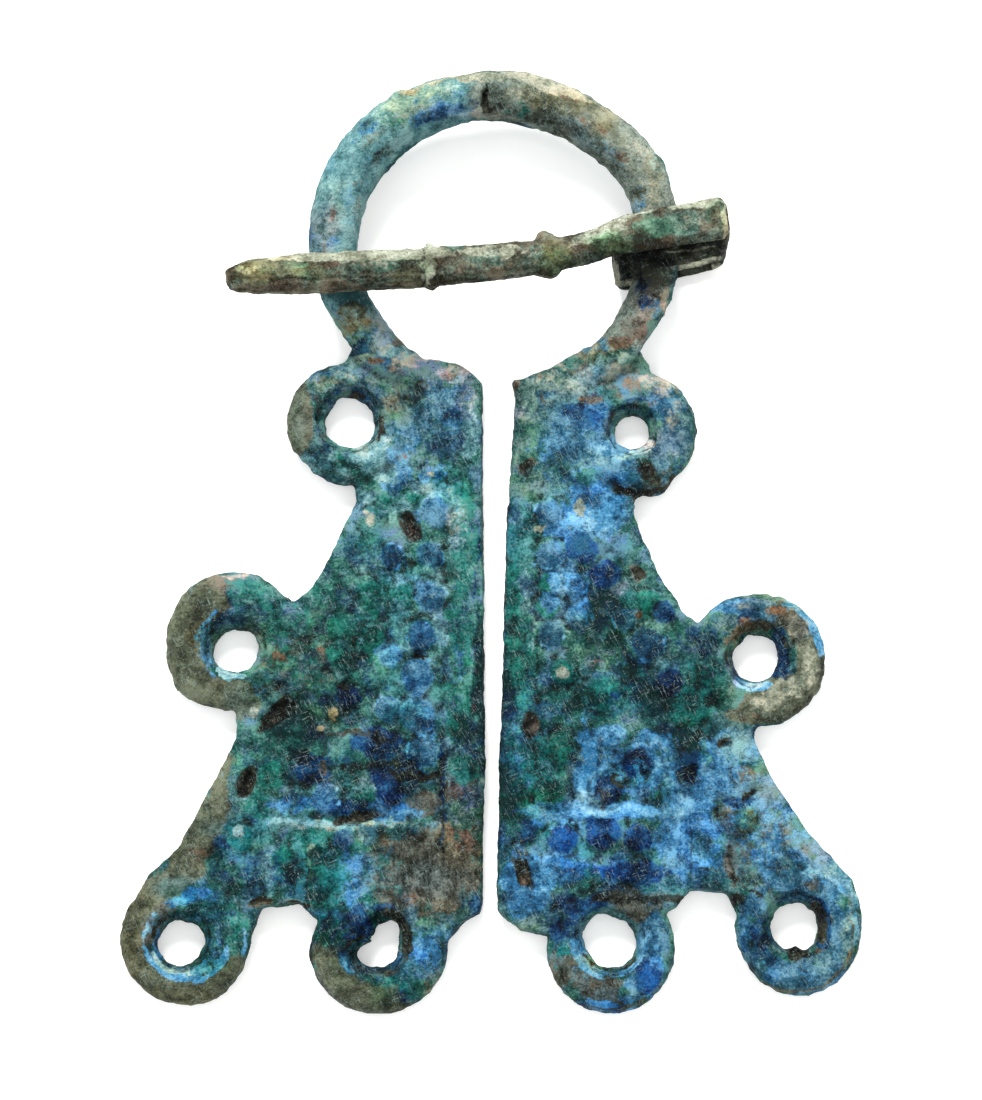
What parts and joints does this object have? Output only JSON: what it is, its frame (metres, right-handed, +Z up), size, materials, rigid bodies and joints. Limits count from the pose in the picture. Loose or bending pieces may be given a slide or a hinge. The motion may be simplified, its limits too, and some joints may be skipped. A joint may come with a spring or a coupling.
{
  "type": "penannular brooch",
  "caption": "Bronze penannular brooch: a wire hoop ending in pelleted plates with pierced eyelets, and a pin whose rolled head swings on the hoop.",
  "frame": {"origin": "middle of the underside, on the surface that the brooch lies on", "axes": "+Y from the plates' lower eyelets to the crown of the hoop, +X to the right plate with the pin's head, +Z up from the flat back to the decorated face"},
  "size_m": [0.0436, 0.0568, 0.0068],
  "materials": {
    "patinated_bronze": "cast bronze under blue and green copper corrosion, matt",
    "olive_bronze": "wrought bronze with an olive brown patina, matt"
  },
  "bodies": {
    "casting": {"hoop_with_plates": "patinated_bronze"},
    "pin": {"pin": "olive_bronze"}
  },
  "joints": [
    {"name": "pin_swing", "type": "hinge", "parent": "casting", "child": "pin", "pos_m": [0.01013, 0.01714, 0.00285], "axis": [0.0245, 0.9997, 0], "range_deg": [0, 150]}
  ]
}
